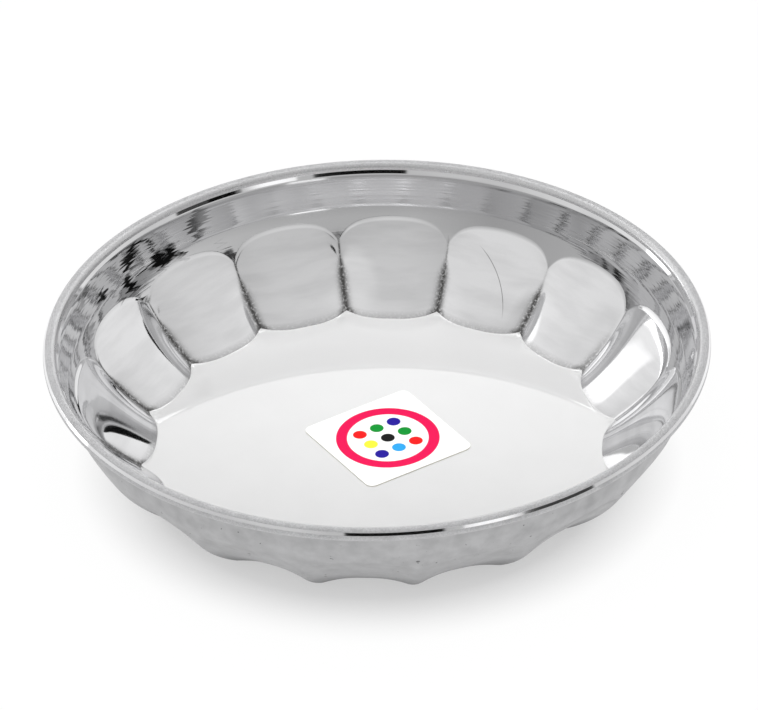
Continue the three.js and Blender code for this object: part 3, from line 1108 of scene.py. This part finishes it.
def white_table():
    material, tree = new_material("white_table")
    rays = add_node(tree, "ShaderNodeLightPath").node.outputs
    seen = rays["Is Camera Ray"]
    for kind in ("Is Glossy Ray", "Is Transmission Ray"):
        seen = add_node(tree, "ShaderNodeMath", {0: seen, 1: rays[kind]}, operation="MAXIMUM")
    place = add_node(tree, "ShaderNodeTexCoord", out="Object")
    reach = add_node(tree, "ShaderNodeVectorMath", {
        0: place, 1: PAINTED_SHADOW_CENTRE * MM,
    }, out="Value", operation="DISTANCE")
    glow_past_painted_shadow = add_node(tree, "ShaderNodeMapRange", {
        "Value": reach, "From Min": GLOW_FROM * MM, "From Max": GLOW_FULL * MM,
        "To Min": GLOW_IN_PAINTED_SHADOW, "To Max": FLOOR_GLOW,
    })
    share = add_node(tree, "ShaderNodeMath", {0: seen, 1: glow_past_painted_shadow}, operation="MULTIPLY")
    matt = add_node(tree, "ShaderNodeBsdfDiffuse", {"Color": linear(FLOOR_WHITE)})
    glow = add_node(tree, "ShaderNodeEmission", {"Color": (1, 1, 1, 1), "Strength": 1.0})
    both = add_node(tree, "ShaderNodeMixShader", {0: share, 1: matt, 2: glow})
    add_node(tree, "ShaderNodeOutputMaterial", {"Surface": both})
    return material


def make_plane(name, corners, material):
    mesh = bpy.data.meshes.new(name)
    mesh.from_pydata(corners, [], [tuple(range(len(corners)))])
    mesh.materials.append(material)
    plane = bpy.data.objects.new(name, mesh)
    bpy.context.scene.collection.objects.link(plane)
    return plane


half_floor = FLOOR_SIZE / 2
make_plane("floor", [
    Vector((x * half_floor, y * half_floor, -FLOOR_DROP)) * MM
    for x, y in ((-1, -1), (1, -1), (1, 1), (-1, 1))
], white_table())
print("The floor is", FLOOR_SIZE, "mm wide")

# %% Hang dark boards round the plate
BOARD_BLACK = "#0C0C0C"
# Each board is a disc: its distance from the plate, azimuth, elevation and radius, in mm and degrees.
BOARDS = (
    (700, 56, 34, 42),
    (185, 152, 14, 32),
    (125, 80, 46, 11),
)
BOARD_CORNERS = 24


def black_board():
    material, tree = new_material("matt_black_board")
    board = add_node(tree, "ShaderNodeBsdfDiffuse", {"Color": linear(BOARD_BLACK)})
    add_node(tree, "ShaderNodeOutputMaterial", {"Surface": board})
    return material


def compass(azimuth, elevation):
    """A direction. Azimuth is 0 on the camera's side and grows to the right."""
    turn, lift = math.radians(azimuth), math.radians(elevation)
    return Vector((math.sin(turn) * math.cos(lift), -math.cos(turn) * math.cos(lift), math.sin(lift)))


board_finish = black_board()
for distance, azimuth, elevation, radius in BOARDS:
    towards = compass(azimuth, elevation)
    side = towards.cross(Vector((0, 0, 1))).normalized()
    upright = side.cross(towards)
    corners = []
    for i in range(BOARD_CORNERS):
        angle = math.tau * i / BOARD_CORNERS
        outwards = math.cos(angle) * side + math.sin(angle) * upright
        corners.append((distance * towards + radius * outwards) * MM)
    board = make_plane("dark_board", corners, board_finish)
    board.visible_camera = False
    board.visible_diffuse = False
    board.visible_shadow = False
print("Hung", len(BOARDS), "dark boards")

# %% Light the room
ROOM_LEVEL = 0.745
ROOM_TILT = (-0.05, 0.25, 0.0)
# Each patch has a name, its left and right azimuth, its lower and upper elevation, its level and the width
# of its soft edge, in degrees.
PATCHES = (
    ("softbox behind, left half", -200, -122, 50, 57.5, 3.6, 1.8),
    ("softbox behind, right half", 122, 200, 50, 57.5, 3.6, 1.8),
    ("white card behind, left half", -200, -150, 18, 35.9, 1.4, 1.3),
    ("white card behind, right half", 150, 200, 18, 35.9, 1.4, 1.3),
    ("shade above the card, left half", -200, -145, 37, 43, 0.5, 1.3),
    ("shade above the card, right half", 145, 200, 37, 43, 0.5, 1.3),
    ("pale wall", -75, -20, 28, 64, 0.74, 8),
    ("dark camera stand", -8, 25, 26, 29.5, 0.0, 0.7),
    ("lit gap", 31, 53, 24, 26.7, 1.1, 0.7),
    ("dark lamp head", 35, 54.5, 27.5, 30.8, 0.03, 0.5),
    ("low lamp", 20, 33, 3.5, 8, 1.7, 0.7),
    ("dark shelf, upper end", 51, 65, 20, 23.5, 0.05, 0.7),
    ("dark shelf, lower end", 58, 76, 17, 21.5, 0.05, 0.7),
    ("window", -150, -115, 14.5, 33, 1.25, 2),
    ("low window", -132, -102, 0.5, 9.5, 3.0, 1),
    ("grey table", -150, -127, 0, 16.5, 0.5, 1),
)


def pale_room():
    world = bpy.data.worlds.new("pale_room")
    bpy.context.scene.world = world
    world.use_nodes = True
    tree = world.node_tree
    tree.nodes.clear()
    direction = add_node(tree, "ShaderNodeTexCoord", out="Generated")
    x, y, z = add_node(tree, "ShaderNodeSeparateXYZ", {"Vector": direction}).node.outputs
    front = add_node(tree, "ShaderNodeMath", {0: y, 1: -1.0}, operation="MULTIPLY")
    azimuth = add_node(tree, "ShaderNodeMath", {0: x, 1: front}, operation="ARCTAN2")
    elevation = add_node(tree, "ShaderNodeMath", {0: z}, operation="ARCSINE")
    tilt = add_node(tree, "ShaderNodeVectorMath", {
        0: direction, 1: ROOM_TILT,
    }, out="Value", operation="DOT_PRODUCT")
    level = add_node(tree, "ShaderNodeMath", {0: tilt, 1: ROOM_LEVEL}, operation="ADD")
    for _, left, right, low, high, patch_level, edge in PATCHES:
        inside = 1.0
        for angle, limit, width in ((azimuth, left, edge), (azimuth, right, -edge),
                                    (elevation, low, edge), (elevation, high, -edge)):
            share = add_node(tree, "ShaderNodeMapRange", {
                "Value": angle,
                "From Min": math.radians(limit - width), "From Max": math.radians(limit + width),
            }, interpolation_type="SMOOTHSTEP")
            inside = add_node(tree, "ShaderNodeMath", {0: share, 1: inside}, operation="MULTIPLY")
        level = add_node(tree, "ShaderNodeMix", {0: inside, 2: level, 3: patch_level})
    light = add_node(tree, "ShaderNodeBackground", {"Color": (1, 1, 1, 1), "Strength": level})
    add_node(tree, "ShaderNodeOutputWorld", {"Surface": light})


pale_room()
print("The room has", len(PATCHES), "patches of light and dark")

# %% Hang the lamp
LAMP_PLACE = Vector((-50, -200, 1200)) * MM
LAMP_SIZE = 800 * MM
LAMP_POWER = 9.0


def soft_lamp():
    lamp = bpy.data.lights.new("soft_lamp", "AREA")
    lamp.shape = "DISK"
    lamp.size = LAMP_SIZE
    lamp.energy = LAMP_POWER
    holder = bpy.data.objects.new("soft_lamp", lamp)
    turn = LAMP_PLACE.to_track_quat("Z", "Y").to_matrix()
    holder.matrix_world = Matrix.Translation(LAMP_PLACE) @ turn.to_4x4()
    holder.visible_glossy = False
    bpy.context.scene.collection.objects.link(holder)


soft_lamp()
print("The lamp has", LAMP_POWER, "W")

# %% [markdown]
# ## Finish
#
# The Standard view transform shows colours as they are written.

# %% Set the view transform
bpy.context.scene.view_settings.view_transform = "Standard"
